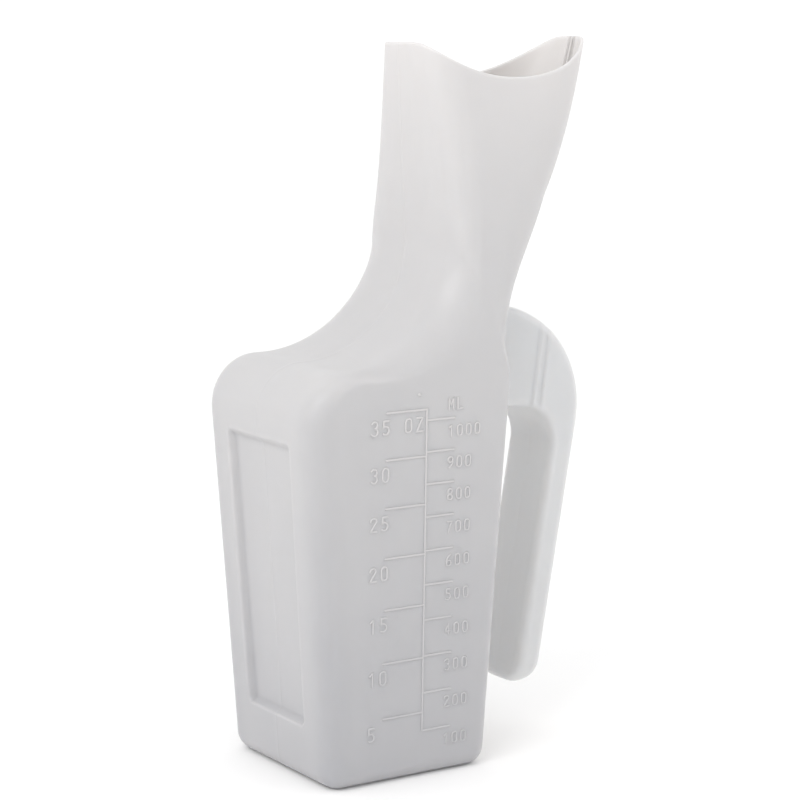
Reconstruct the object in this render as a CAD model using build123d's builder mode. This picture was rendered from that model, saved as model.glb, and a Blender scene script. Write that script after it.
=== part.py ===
"""Blow-moulded urine bottle with a saddle mouth and a hook handle.

Frame: origin at the middle of the base, +Z up, +X towards the handle, -Y the side with the scale.
Everything is symmetric about the XZ plane except the scale. All sizes are in millimetres.
"""
from build123d import *
import math
import os

# Reservoir
wall = 1.2                      # thickness of the blown wall
base_length = 78.0              # along X at the base
base_depth = 80.2               # along Y at the base
left_draft = 0.071              # how far each wall leans out, per mm of height
right_draft = 0.064
face_draft = 0.018
corner_radius = 8.4             # upright corners
base_edge_radius = 7.6          # round between the walls and the base

# Shoulder, neck and mouth
shoulder_height = 170.3
straight_height = shoulder_height - 70.3    # below this the sections are level, above it they fan out
reservoir_split = shoulder_height - 26.3    # level where the reservoir node ends
shoulder_radius = 20.8          # round at the left end of the shoulder
neck_blend_radius = 49.5        # hollow sweep from the shoulder up into the neck
neck_left = 25.0                # X of the neck's left side where it rises
neck_right_drop = 3.8           # the right wall leans out into the neck this far below the shoulder
mouth_node_depth = 75.0         # from the ear tips down to where the mouth funnel node starts
mouth_left = 17.4               # X of the left and right ear tips
mouth_right = 109.4
mouth_depth = 40.7              # along Y at the ears
mouth_depth_pace = 1.37         # power of the height at which the depth shrinks towards the ears
mouth_lean = 10.4               # angle of the right side at the mouth, from upright
ear_height = 299.1              # top of the left ear of the saddle-shaped rim
right_ear_rise = 2.0            # the right ear stands this much higher
rim_slope = 0.70                # fall of the rim from an ear towards the dip, per mm
dip_radius = 0.75 * (mouth_right - mouth_left)
dip_offset = 2.2                # the dip is this far left of the middle between the ears
ear_round = 4.1
ear_set_in = 0.6                # from the funnel's side to the corner that the ear's round takes off
ear_back_slope = 1.2            # how steeply the rim is cut away outside the ears
left_roundness = 0.775          # corner radius of a neck section as a share of its half depth
right_roundness = 0.95
left_round_pace = 1.71          # power of the fan's share at which the left corners grow rounder
neck_flatness = 0.05            # share of a neck section's half width that stays straight
neck_low_pull = 0.36            # length of the right rail's curve handles, as shares of its rise
neck_high_pull = 0.67
rail_overrun = 14.0             # the rails run on past the rim, which is cut afterwards
rail_overreach = 1.6            # the right rail's lean over that stretch
waist_share = 0.02              # where the sections turn from fanning to climbing, on the right rail
right_round_start = 0.8         # share of the fan where the right corners start to grow rounder
right_round_at_waist = 0.45
right_round_end = 0.94          # share of the neck where they are as round as the left ones

# Side panel
panel_low = 24.0
panel_high = shoulder_height - 28.3
panel_width_low = 45.8
panel_width_high = 50.8
panel_depth = 3.0
panel_slope = 3.2               # how far the panel's edges lean in over its depth
panel_corner_outside = 3.0
panel_corner_inside = 1.6

# Hook handle
handle_width = 33.4             # along Y
handle_thickness = 12.2         # level thickness of the hanging arm
handle_top = shoulder_height + 21.3         # top face where it meets the bottle
handle_root_height = 46.0       # how deep the handle's root is on the bottle
handle_gap = 42.4               # finger gap at its top, between arm and wall
handle_arm_lean = 0.172         # how far the arm leans out, per mm of height
handle_top_slope = 0.2          # fall of the top face, per mm of reach
handle_tip_height = 22.6
handle_outer_radius = 45.0
handle_gap_radius = 17.0
handle_tip_radius = 5.6
handle_edge_radius = 4.2
handle_root_sink = 6.0          # the root's profile runs this far into the bottle

# Raised marks
relief = 0.45                   # height of lines and numerals above the face
line_width = 0.9
scale_line_x = 4.9
scale_full_height = shoulder_height - 20.9  # height of the 1000 mL line
scale_zero_height = 3.5         # height that an empty scale would start from
ounce_line_length = 18.6
millilitre_line_length = 13.0
ounce_text_height = 6.5
millilitre_text_height = 5.3
text_drop = 2.6                 # from a line down to the top of its number
ounce_text_reach = 7.5          # the ounce numbers start this far left of their lines
millilitre_text_reach = 9.8     # the millilitre numbers start this far along their lines
unit_rise = 4.0                 # top of the unit letters above the scale's upright line
glyph_share = 0.58              # width of a numeral as a share of its height
glyph_gap_share = 0.24
stroke_share = 0.15
millilitre_per_ounce = 29.5735
pip_radius = 0.9
pip_above_scale = 6.3
pip_offset = 3.8                # to the left of the scale's upright line
seam_width = 0.9                # parting line left by the mould halves
seam_relief = 0.35


def half_depth(height):
    """Half of the bottle's depth along Y at a height."""
    if height <= shoulder_height:
        return base_depth / 2 + face_draft * height
    share = (height - shoulder_height) / (ear_height - shoulder_height)
    shoulder_half = base_depth / 2 + face_draft * shoulder_height
    return shoulder_half - (shoulder_half - mouth_depth / 2) * share ** mouth_depth_pace


def left_wall_x(height):
    return -base_length / 2 - left_draft * height


def right_wall_x(height):
    return base_length / 2 + right_draft * height


# Side rails in the XZ plane
rail_top = ear_height + rail_overrun
waist_height = shoulder_height - neck_right_drop
mouth_split = ear_height - mouth_node_depth

with BuildLine(Plane.XZ) as left_rail:
    FilletPolyline(
        (left_wall_x(0), 0),
        (left_wall_x(shoulder_height), shoulder_height),
        (neck_left, shoulder_height),
        (mouth_left, rail_top),
        radius=[shoulder_radius, neck_blend_radius],
    )

neck_rise = rail_top - waist_height
rail_end_x = mouth_right + rail_overreach
low_pull = neck_low_pull * neck_rise
high_pull = neck_high_pull * neck_rise
with BuildLine(Plane.XZ) as right_rail:
    right_wall_line = Line((right_wall_x(0), 0), (right_wall_x(waist_height), waist_height))
    Bezier(
        (right_wall_x(waist_height), waist_height),
        (right_wall_x(waist_height + low_pull), waist_height + low_pull),
        (rail_end_x - high_pull * math.tan(math.radians(mouth_lean)), rail_top - high_pull),
        (rail_end_x, rail_top),
    )


def rail_points(rail, distances, inset, inward):
    """Points of a rail at distances along it, moved inwards by the inset."""
    wire = rail.wire()
    points = []
    for distance in distances:
        spot = wire.position_at(distance, PositionMode.LENGTH)
        along = wire.tangent_at(distance, PositionMode.LENGTH)
        side = Vector(along.Z, 0, -along.X) * inward
        points.append(spot + side * inset)
    return points


left_length = left_rail.wire().length
right_length = right_rail.wire().length
left_neck_line = left_rail.edges().sort_by(Axis.Z)[-1].length
left_start = straight_height * math.hypot(1, left_draft)
right_start = straight_height * math.hypot(1, right_draft)
left_turn = left_rail.edges().sort_by(Axis.Z)[0].length
left_waist = left_length - left_neck_line
right_waist = right_wall_line.length + waist_share * (right_length - right_wall_line.length)
turn_share = (left_turn - left_start) / (left_waist - left_start)
right_turn = right_start + (right_waist - right_start) * turn_share
fan_steps = 16                  # sections over the shoulder and up the neck
neck_steps = 12


def stations():
    """Distances along the two rails, and how far each station is up the fan and up the neck."""
    rows = [(left_start, right_start, 0.0, 0.0)]
    for step in range(fan_steps + 1):
        share = step / fan_steps
        rows.append((
            left_turn + share * (left_waist - left_turn),
            right_turn + share * (right_waist - right_turn),
            share,
            0.0,
        ))
    for step in range(1, neck_steps + 1):
        share = step / neck_steps
        rows.append((
            left_waist + share * (left_length - left_waist),
            right_waist + share * (right_length - right_waist),
            1.0,
            share,
        ))
    return rows


def smooth(value):
    value = min(max(value, 0.0), 1.0)
    return value * value * (3 - 2 * value)


def section_plane(left_point, right_point):
    across = (right_point - left_point).normalized()
    normal = across.cross(Vector(0, 1, 0))
    return Plane(origin=(left_point + right_point) * 0.5, x_dir=across, z_dir=normal)


def section_face(left_point, right_point, left_radius, right_radius, inset):
    """Rounded four-sided section through a point on each rail."""
    half = (right_point - left_point).length / 2
    left_half_depth = half_depth(left_point.Z) - inset
    right_half_depth = half_depth(right_point.Z) - inset
    corners = [
        (-half, -left_half_depth),
        (half, -right_half_depth),
        (half, right_half_depth),
        (-half, left_half_depth),
    ]
    radii = [left_radius, right_radius, right_radius, left_radius]
    with BuildSketch(section_plane(left_point, right_point)) as section_sketch:
        with BuildLine():
            FilletPolyline(*corners, radius=radii, close=True)
        make_face()
    return section_sketch.sketch.face()


def corner_radii(left_point, right_point, fan_share, neck_share, inset):
    """Corner radii of a section: tight on the walls, nearly round in the neck."""
    left_share = smooth(fan_share ** left_round_pace)
    right_fan = smooth((fan_share - right_round_start) / (1 - right_round_start))
    right_neck = smooth(neck_share / right_round_end)
    right_share = right_round_at_waist * right_fan + (1 - right_round_at_waist) * right_neck
    left_depth = half_depth(left_point.Z)
    right_depth = half_depth(right_point.Z)
    length = (right_point - left_point).length
    taper = math.atan2(left_depth - right_depth, length)
    left_reach = math.tan((math.pi / 2 + taper) / 2)
    right_reach = math.tan((math.pi / 2 - taper) / 2)
    longest = (1 - neck_flatness) * length / 2
    left_round = min(left_roundness * left_depth, longest / left_reach)
    right_round = min(right_roundness * right_depth, longest / right_reach)
    left_radius = corner_radius + (left_round - corner_radius) * left_share
    right_radius = corner_radius + (right_round - corner_radius) * right_share
    return left_radius - inset, right_radius - inset


def bottle_solid(inset):
    """The bottle's whole outer shape, or its cavity when the inset is the wall."""
    rows = stations()
    left_points = rail_points(left_rail, [row[0] for row in rows], inset, 1)
    right_points = rail_points(right_rail, [row[1] for row in rows], inset, -1)
    floor = inset
    low_left = Vector(left_wall_x(floor) + inset, 0, floor)
    low_right = Vector(right_wall_x(floor) - inset, 0, floor)
    low_radius = corner_radius - inset
    faces = []
    for row, left_point, right_point in zip(rows, left_points, right_points):
        radii = corner_radii(left_point, right_point, row[2], row[3], inset)
        faces.append(section_face(left_point, right_point, radii[0], radii[1], inset))
    with BuildPart() as bottle:
        add(section_face(low_left, low_right, low_radius, low_radius, inset))
        add(faces[0])
        loft(ruled=True)
        fillet(bottle.edges().group_by(Axis.Z)[0], base_edge_radius - inset)
        add(faces[0])
        add(faces[1])
        loft(ruled=True)
        for face in faces[1:]:
            add(face)
        loft(ruled=True, clean=False)
    return bottle.part


def panel_pocket(grow):
    """The side panel's recess, grown by the wall when it is taken from the cavity."""
    panel_plane = Plane(
        origin=(left_wall_x(0), 0, 0), x_dir=(0, -1, 0), z_dir=(-1, 0, -left_draft)
    )

    def outline(slope):
        low = panel_low - grow + slope
        high = panel_high + grow - slope
        half_low = panel_width_low / 2 + grow - slope
        half_high = panel_width_high / 2 + grow - slope
        return [(-half_low, low), (half_low, low), (half_high, high), (-half_high, high)]

    lift = wall / 2             # the cutter stands this far proud of the wall
    rise = panel_slope * lift / panel_depth
    with BuildPart() as pocket:
        with BuildSketch(panel_plane.offset(lift)):
            with BuildLine():
                FilletPolyline(*outline(-rise), radius=panel_corner_outside + grow, close=True)
            make_face()
        with BuildSketch(panel_plane.offset(-panel_depth - grow)):
            with BuildLine():
                FilletPolyline(*outline(panel_slope), radius=panel_corner_inside + grow, close=True)
            make_face()
        loft(ruled=True)
    return pocket.part


def handle_profile():
    """Side view of the handle: root, rounded shoulder, hanging arm and tip."""
    gap_ceiling = handle_top - handle_root_height
    root_x = right_wall_x(handle_top)
    gap_top_x = right_wall_x(gap_ceiling) + handle_gap

    def arm_inner(height):
        return gap_top_x + handle_arm_lean * (height - gap_ceiling)

    def arm_outer(height):
        return arm_inner(height) + handle_thickness

    corner_z = (
        handle_top - handle_top_slope * (arm_outer(0) - root_x)
    ) / (1 + handle_top_slope * handle_arm_lean)
    sunk_x = right_wall_x(gap_ceiling) - handle_root_sink
    sunk_top = handle_top + handle_top_slope * (root_x - sunk_x)
    return [
        (sunk_x, sunk_top),
        (arm_outer(corner_z), corner_z),
        (arm_outer(handle_tip_height), handle_tip_height),
        (arm_inner(handle_tip_height), handle_tip_height),
        (arm_inner(gap_ceiling), gap_ceiling),
        (sunk_x, gap_ceiling),
    ]


def handle_solid(inset):
    """The handle with its root running into the bottle, or its cavity when the inset is the wall."""
    radii = [0, handle_outer_radius, handle_tip_radius, handle_tip_radius, handle_gap_radius, 0]
    with BuildPart() as handle:
        with BuildSketch(Plane.XZ):
            with BuildLine():
                FilletPolyline(*handle_profile(), radius=radii, close=True)
            make_face()
            if inset != 0:
                offset(amount=-inset, kind=Kind.INTERSECTION, mode=Mode.REPLACE)
        extrude(amount=handle_width / 2 - inset, both=True)
        fillet(
            handle.faces().filter_by(Axis.Y).edges(),
            handle_edge_radius - inset,
        )
    return handle.part


def rim_cut():
    """Everything above the saddle-shaped rim."""
    middle_x = (mouth_left + mouth_right) / 2
    corner_reach = (mouth_right - mouth_left) / 2 - ear_set_in
    corner_rise = ear_round * (math.hypot(1, rim_slope) - 1) + ear_set_in * rim_slope
    left_corner = (middle_x - corner_reach, ear_height + corner_rise)
    right_corner = (middle_x + corner_reach, ear_height + right_ear_rise + corner_rise)
    dip_x = middle_x - dip_offset
    apex = left_corner[1] - rim_slope * (dip_x - left_corner[0])
    clear_reach = wall + mouth_depth / 4
    clear_drop = clear_reach * ear_back_slope
    clear_top = rail_top + clear_drop
    with BuildPart() as cut:
        with BuildSketch(Plane.XZ) as side:
            with BuildLine():
                Polyline(
                    (left_corner[0] - clear_reach, left_corner[1] - clear_drop),
                    left_corner,
                    (dip_x, apex),
                    right_corner,
                    (right_corner[0] + clear_reach, right_corner[1] - clear_drop),
                    (right_corner[0] + clear_reach, clear_top),
                    (left_corner[0] - clear_reach, clear_top),
                    close=True,
                )
            make_face()
            fillet(side.vertices().sort_by_distance((dip_x, apex))[0], dip_radius)
            fillet(side.vertices().sort_by_distance(left_corner)[0], ear_round)
            fillet(side.vertices().sort_by_distance(right_corner)[0], ear_round)
        extrude(amount=mouth_depth, both=True)
    return cut.part


# The moulding
panel_outside = panel_pocket(0)
panel_inside = panel_pocket(wall)
handle_outside = handle_solid(0)
handle_inside = handle_solid(wall)
mouth_cut = rim_cut()

with BuildPart() as bottle_outer:
    add(bottle_solid(0))
    add(panel_outside, mode=Mode.SUBTRACT)
    add(mouth_cut, mode=Mode.SUBTRACT)

with BuildPart() as bottle_cavity:
    add(bottle_solid(wall))
    add(panel_inside, mode=Mode.SUBTRACT)

with BuildPart() as shell:
    add(bottle_outer.part)
    add(bottle_cavity.part, mode=Mode.SUBTRACT)
    add(handle_inside, mode=Mode.SUBTRACT)

with BuildPart() as reservoir:
    add(shell.part)
    split(bisect_by=Plane.XY.offset(reservoir_split), keep=Keep.BOTTOM)

with BuildPart() as shoulder_neck:
    add(shell.part)
    split(bisect_by=Plane.XY.offset(reservoir_split), keep=Keep.TOP)
    split(bisect_by=Plane.XY.offset(mouth_split), keep=Keep.BOTTOM)

with BuildPart() as mouth_funnel:
    add(shell.part)
    split(bisect_by=Plane.XY.offset(mouth_split), keep=Keep.TOP)

with BuildPart() as hook_handle:
    add(handle_outside)
    add(handle_inside, mode=Mode.SUBTRACT)
    add(bottle_outer.part, mode=Mode.SUBTRACT)

# Parting line
with BuildPart() as whole_outside:
    add(bottle_outer.part)
    add(handle_outside)

with BuildPart() as below_base:
    with BuildSketch(Plane.XY):
        Rectangle(3 * base_length, 3 * base_depth)
    extrude(amount=-wall)

with BuildPart() as seam_skin:
    add(bottle_solid(-seam_relief))
    add(panel_pocket(-seam_relief), mode=Mode.SUBTRACT)
    add(handle_solid(-seam_relief))

with BuildPart() as parting_seam:
    add(seam_skin.part)
    with BuildSketch(Plane.XZ):
        Rectangle(4 * ear_height, 4 * ear_height)
    extrude(amount=seam_width / 2, both=True, mode=Mode.INTERSECT)
    add(whole_outside.part, mode=Mode.SUBTRACT)
    add(mouth_cut, mode=Mode.SUBTRACT)
    add(below_base.part, mode=Mode.SUBTRACT)

# Scale on the front face
front_plane = Plane(
    origin=(0, -half_depth(0), 0), x_dir=(1, 0, 0), z_dir=(0, -1, -face_draft)
)
face_stretch = math.hypot(1, face_draft)    # length along the face per mm of height
widening = (left_draft + right_draft) / base_length + 2 * face_draft / base_depth


def mark_height(share):
    """Height of a line for a share of the 1000 mL line, as the reservoir widens upwards."""
    full_rise = scale_full_height - scale_zero_height
    full = full_rise + widening * full_rise ** 2 / 2
    rise = (math.sqrt(1 + 2 * widening * share * full) - 1) / widening
    return scale_zero_height + rise


def ring_glyph(centre_x, centre_y, radius, start=0.0, sweep=360.0):
    with BuildLine() as ring:
        CenterArc((centre_x, centre_y), radius, start, sweep)
    return ring.line


def stroke(*points):
    with BuildLine() as path:
        Polyline(*points)
    return path.line


def bend(start, middle, end):
    with BuildLine() as path:
        ThreePointArc(start, middle, end)
    return path.line


def glyph_paths(character, width, height):
    """Centre lines of one character in a box of the given width and height."""
    radius = width / 2
    low_ring = ring_glyph(radius, radius, radius)
    high_ring = ring_glyph(radius, height - radius * 0.9, radius * 0.9)
    paths = {
        "0": [
            bend((0, height - radius), (radius, height), (width, height - radius)),
            bend((0, radius), (radius, 0), (width, radius)),
            stroke((0, radius), (0, height - radius)),
            stroke((width, radius), (width, height - radius)),
        ],
        "1": [stroke((0.15 * width, 0.78 * height), (0.6 * width, height), (0.6 * width, 0))],
        "2": [
            bend((0, height - radius), (radius, height), (width, height - radius)),
            stroke((width, height - radius), (0, 0), (width, 0)),
        ],
        "3": [
            bend((0, 0.88 * height), (0.95 * width, 0.76 * height), (0.35 * width, 0.53 * height)),
            bend((0.35 * width, 0.53 * height), (width, 0.27 * height), (0, 0.1 * height)),
        ],
        "4": [
            stroke((0.72 * width, 0), (0.72 * width, height)),
            stroke((0.72 * width, height), (0, 0.3 * height)),
            stroke((0, 0.3 * height), (width, 0.3 * height)),
        ],
        "5": [
            stroke((0.92 * width, height), (0.1 * width, height), (0.06 * width, 0.56 * height)),
            bend((0.06 * width, 0.56 * height), (width, 0.32 * height), (0, 0.08 * height)),
        ],
        "6": [low_ring, bend((0, radius), (0.2 * width, 0.72 * height), (0.85 * width, height))],
        "7": [stroke((0, height), (width, height), (0.3 * width, 0))],
        "8": [low_ring, high_ring],
        "9": [
            ring_glyph(radius, height - radius, radius),
            bend((width, height - radius), (0.8 * width, 0.28 * height), (0.15 * width, 0)),
        ],
        "O": [
            bend((0, height - radius), (radius, height), (width, height - radius)),
            bend((0, radius), (radius, 0), (width, radius)),
            stroke((0, radius), (0, height - radius)),
            stroke((width, radius), (width, height - radius)),
        ],
        "Z": [stroke((0, height), (width, height), (0, 0), (width, 0))],
        "M": [stroke((0, 0), (0, height), (radius, 0.4 * height), (width, height), (width, 0))],
        "L": [stroke((0, height), (0, 0), (width, 0))],
    }
    return paths[character]


def glyph_face(character, text_height):
    line = stroke_share * text_height
    width = glyph_share * text_height - line
    with BuildSketch() as glyph:
        for path in glyph_paths(character, width, text_height - line):
            trace(path, line_width=line)
    return glyph.sketch.moved(Location((line / 2, line / 2)))


def add_text(text, left, top_height, text_height):
    """Places a word on the front face: its left end and the height of its top."""
    pitch = (glyph_share + glyph_gap_share) * text_height
    for index, character in enumerate(text):
        if character != " ":
            spot = Location((left + index * pitch, top_height * face_stretch - text_height))
            add(glyph_face(character, text_height).moved(spot))


def add_line(start_x, end_x, height):
    """Places a level line between two X positions on the front face."""
    middle = ((start_x + end_x) / 2, height * face_stretch)
    with Locations(middle):
        Rectangle(abs(end_x - start_x), line_width)


ounce_marks = range(5, 36, 5)
millilitre_marks = range(100, 1001, 100)
scale_top = mark_height(35 * millilitre_per_ounce / 1000)
scale_bottom = mark_height(millilitre_marks[0] / 1000)
line_edge_left = scale_line_x - line_width / 2
line_edge_right = scale_line_x + line_width / 2

with BuildPart() as scale_line:
    with BuildSketch(front_plane):
        upright = scale_top - scale_bottom + line_width
        with Locations((scale_line_x, (scale_top + scale_bottom) / 2 * face_stretch)):
            Rectangle(line_width, upright * face_stretch)
    extrude(amount=relief)

with BuildPart() as ounce_lines:
    with BuildSketch(front_plane):
        for ounces in ounce_marks:
            share = ounces * millilitre_per_ounce / 1000
            add_line(line_edge_left - ounce_line_length, line_edge_left, mark_height(share))
    extrude(amount=relief)

with BuildPart() as millilitre_lines:
    with BuildSketch(front_plane):
        for millilitres in millilitre_marks:
            share = millilitres / 1000
            add_line(line_edge_right, line_edge_right + millilitre_line_length, mark_height(share))
    extrude(amount=relief)

with BuildPart() as ounce_numerals:
    with BuildSketch(front_plane):
        text_left = line_edge_left - ounce_line_length - ounce_text_reach
        for ounces in ounce_marks:
            share = ounces * millilitre_per_ounce / 1000
            text_top = mark_height(share) - text_drop
            text = f"{ounces}" if ounces < ounce_marks[-1] else f"{ounces} OZ"
            add_text(text, text_left, text_top, ounce_text_height)
    extrude(amount=relief)

with BuildPart() as millilitre_numerals:
    with BuildSketch(front_plane):
        text_left = line_edge_right + millilitre_text_reach
        for millilitres in millilitre_marks:
            text_top = mark_height(millilitres / 1000) - text_drop
            add_text(f"{millilitres}", text_left, text_top, millilitre_text_height)
        add_text("ML", text_left, scale_top + unit_rise, millilitre_text_height)
    extrude(amount=relief)

with BuildPart() as moulding_pip:
    with BuildSketch(front_plane):
        pip_height = (scale_top + pip_above_scale) * face_stretch
        with Locations((scale_line_x - pip_offset, pip_height)):
            Circle(pip_radius)
    extrude(amount=relief)

# Finished pieces
pieces = {
    "reservoir": reservoir,
    "shoulder_neck": shoulder_neck,
    "mouth_funnel": mouth_funnel,
    "hook_handle": hook_handle,
    "parting_seam": parting_seam,
    "scale_line": scale_line,
    "ounce_lines": ounce_lines,
    "ounce_numerals": ounce_numerals,
    "millilitre_lines": millilitre_lines,
    "millilitre_numerals": millilitre_numerals,
    "moulding_pip": moulding_pip,
}
os.makedirs("parts", exist_ok=True)
for piece_name, piece in pieces.items():
    piece.part.label = piece_name
    export_step(piece.part, f"parts/{piece_name}.step")
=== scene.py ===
import math
import bpy
import numpy as np
from mathutils import Matrix, Vector


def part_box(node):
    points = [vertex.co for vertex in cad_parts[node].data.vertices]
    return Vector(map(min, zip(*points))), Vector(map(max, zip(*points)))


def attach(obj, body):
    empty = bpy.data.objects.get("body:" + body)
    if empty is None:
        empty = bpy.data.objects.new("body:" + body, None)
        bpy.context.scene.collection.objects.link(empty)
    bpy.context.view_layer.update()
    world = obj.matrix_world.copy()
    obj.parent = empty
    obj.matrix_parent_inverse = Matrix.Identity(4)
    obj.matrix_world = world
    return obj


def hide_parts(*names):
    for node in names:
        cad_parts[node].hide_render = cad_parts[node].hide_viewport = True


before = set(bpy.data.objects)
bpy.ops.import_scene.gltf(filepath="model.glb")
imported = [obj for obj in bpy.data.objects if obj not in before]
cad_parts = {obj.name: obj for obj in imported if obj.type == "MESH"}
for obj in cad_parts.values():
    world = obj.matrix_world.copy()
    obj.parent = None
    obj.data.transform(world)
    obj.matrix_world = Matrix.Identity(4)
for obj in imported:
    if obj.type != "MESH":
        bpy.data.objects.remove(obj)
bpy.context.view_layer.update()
mm = 0.001
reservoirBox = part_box("reservoir")
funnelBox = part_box("mouth_funnel")
print("frame loaded, reservoir up to", round(reservoirBox[1].z / mm, 1), "and bottle up to",
      round(funnelBox[1].z / mm, 1), "mm")


# all lengths are in mm until a mesh is made

def smoothStep(value):
    value = min(max(value, 0.0), 1.0)
    return value * value * (3 - 2 * value)


def mixValue(start, end, share):
    return start + (end - start) * share


def spread(start, end, count):
    return [mixValue(start, end, step / count) for step in range(count)]


def makeMesh(name, points, faces, material, paintedLight=None):
    mesh = bpy.data.meshes.new(name)
    mesh.from_pydata([tuple(c * mm for c in p) for p in points], [], faces)
    if paintedLight:
        layer = mesh.attributes.new("paintedLight", "FLOAT", "POINT")
        layer.data.foreach_set("value", [paintedLight(x, y, z) for x, y, z in points])
    for polygon in mesh.polygons:
        polygon.use_smooth = True
    mesh.materials.append(material)
    piece = bpy.data.objects.new(name, mesh)
    bpy.context.scene.collection.objects.link(piece)
    return piece


def gridNormals(grid):
    # normals of a grid of points whose rows are closed loops
    around = np.roll(grid, -1, axis=1) - np.roll(grid, 1, axis=1)
    along = np.empty_like(grid)
    along[1:-1] = grid[2:] - grid[:-2]
    along[0] = grid[1] - grid[0]
    along[-1] = grid[-1] - grid[-2]
    normals = np.cross(around, along)
    length = np.linalg.norm(normals, axis=2, keepdims=True)
    return normals / np.maximum(length, 1e-9)


def gridFaces(rows, columns, first=0, flip=False):
    faces = []
    for row in range(rows - 1):
        for column in range(columns):
            after = (column + 1) % columns
            a = first + row * columns + column
            b = first + row * columns + after
            c = first + (row + 1) * columns + after
            d = first + (row + 1) * columns + column
            faces.append((d, c, b, a) if flip else (a, b, c, d))
    return faces


plastic = {
    "litColour": (0.70, 0.675, 0.66),      # painted light: the lit end, used on the left side, the neck and the hidden wall behind the handle
    "shadedColour": (0.385, 0.385, 0.405),   # painted shade: the shaded end, used along the left corners, and darker towards the foot
    # painted light: far lighter than the bottle, standing in for light that reaches the handle through the
    # bottle
    "handleLitColour": (0.95, 0.91, 0.88),
    "roughness": 0.36,
    "ior": 1.5,
    "glow": 0.75,               # share of the light that wanders through the wall
    "handleGlow": 1.0,
    "glowReach": (6.0, 5.6, 5.2),
    "streakDepth": 0.06,
    "streakStretch": 0.06,
    "streakScale": 160.0,
    "grainDepth": 0.02,
    "grainScale": 1400.0,
    "grainHeight": 0.3,
    "cloudScale": 22.0,
    "cloudSpread": 0.16,        # how much a soft cloud varies the clearness
    "rubScale": 60.0,
    "rubSmoother": 0.06,
    "rubRougher": 0.08,
}


def addNode(tree, kind, place, **inputs):
    node = tree.nodes.new(kind)
    node.location = place
    for key, value in inputs.items():
        node.inputs[key].default_value = value
    return node


def makePlastic(name, glow, litColour):
    material = bpy.data.materials.new(name)
    material.use_nodes = True
    tree = material.node_tree
    tree.nodes.clear()
    link = tree.links.new
    out = addNode(tree, "ShaderNodeOutputMaterial", (900, 0))
    shader = addNode(tree, "ShaderNodeBsdfPrincipled", (600, 0))
    link(shader.outputs["BSDF"], out.inputs["Surface"])
    shader.subsurface_method = "RANDOM_WALK"
    shader.inputs["Subsurface Weight"].default_value = glow
    shader.inputs["Subsurface Radius"].default_value = plastic["glowReach"]
    shader.inputs["Subsurface Scale"].default_value = mm
    shader.inputs["IOR"].default_value = plastic["ior"]

    place = addNode(tree, "ShaderNodeTexCoord", (-1200, 0))
    # the painted light and shade is worked out with the mesh; a soft cloud keeps it from looking even
    clear = addNode(tree, "ShaderNodeAttribute", (-800, 200))
    clear.attribute_name = "paintedLight"
    cloud = addNode(tree, "ShaderNodeTexNoise", (-800, -60), Scale=plastic["cloudScale"], Detail=3.0,
                    Roughness=0.5)
    link(place.outputs["Object"], cloud.inputs["Vector"])
    cloudShift = addNode(tree, "ShaderNodeMath", (-600, -60))
    cloudShift.operation = "MULTIPLY_ADD"
    cloudShift.inputs[1].default_value = plastic["cloudSpread"]
    cloudShift.inputs[2].default_value = -plastic["cloudSpread"] / 2
    link(cloud.outputs["Fac"], cloudShift.inputs[0])
    share = addNode(tree, "ShaderNodeMath", (-420, 100))
    share.operation = "ADD"
    share.use_clamp = True
    link(clear.outputs["Fac"], share.inputs[0])
    link(cloudShift.outputs[0], share.inputs[1])
    ramp = addNode(tree, "ShaderNodeValToRGB", (-220, 100))
    ramp.color_ramp.elements[0].color = plastic["shadedColour"] + (1,)
    ramp.color_ramp.elements[1].color = litColour + (1,)
    link(share.outputs[0], ramp.inputs["Fac"])
    link(ramp.outputs["Color"], shader.inputs["Base Color"])

    # roughness wanders a little, with faint rubbed patches
    rub = addNode(tree, "ShaderNodeTexNoise", (-800, -320), Scale=plastic["rubScale"], Detail=5.0,
                  Roughness=0.6)
    link(place.outputs["Object"], rub.inputs["Vector"])
    rubRange = addNode(tree, "ShaderNodeMapRange", (-420, -320))
    rubRange.inputs["To Min"].default_value = plastic["roughness"] - plastic["rubSmoother"]
    rubRange.inputs["To Max"].default_value = plastic["roughness"] + plastic["rubRougher"]
    link(rub.outputs["Fac"], rubRange.inputs["Value"])
    link(rubRange.outputs["Result"], shader.inputs["Roughness"])

    # drawn-out flow streaks and a fine grain from the mould
    stretch = addNode(tree, "ShaderNodeMapping", (-1000, -600))
    stretch.inputs["Scale"].default_value = (1.0, 1.0, plastic["streakStretch"])
    link(place.outputs["Object"], stretch.inputs["Vector"])
    streak = addNode(tree, "ShaderNodeTexNoise", (-800, -600), Scale=plastic["streakScale"], Detail=2.0,
                     Roughness=0.5)
    link(stretch.outputs["Vector"], streak.inputs["Vector"])
    grain = addNode(tree, "ShaderNodeTexNoise", (-800, -820), Scale=plastic["grainScale"], Detail=2.0,
                    Roughness=0.6)
    link(place.outputs["Object"], grain.inputs["Vector"])
    streakBump = addNode(tree, "ShaderNodeBump", (-300, -600))
    streakBump.inputs["Strength"].default_value = plastic["streakDepth"]
    streakBump.inputs["Distance"].default_value = mm
    link(streak.outputs["Fac"], streakBump.inputs["Height"])
    grainBump = addNode(tree, "ShaderNodeBump", (0, -600))
    grainBump.inputs["Strength"].default_value = plastic["grainDepth"]
    grainBump.inputs["Distance"].default_value = plastic["grainHeight"] * mm
    link(grain.outputs["Fac"], grainBump.inputs["Height"])
    link(streakBump.outputs["Normal"], grainBump.inputs["Normal"])
    link(grainBump.outputs["Normal"], shader.inputs["Normal"])
    return material


milkyPlastic = makePlastic("milkyPlastic", plastic["glow"], plastic["litColour"])
handlePlastic = makePlastic("handlePlastic", plastic["handleGlow"], plastic["handleLitColour"])
# the marks are part of the wall and too low to glow
markPlastic = makePlastic("markPlastic", 0.0, plastic["litColour"])
print("plastic mixed")

# bottle skin: reservoir, shoulder, neck and mouth as one blown wall

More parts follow.
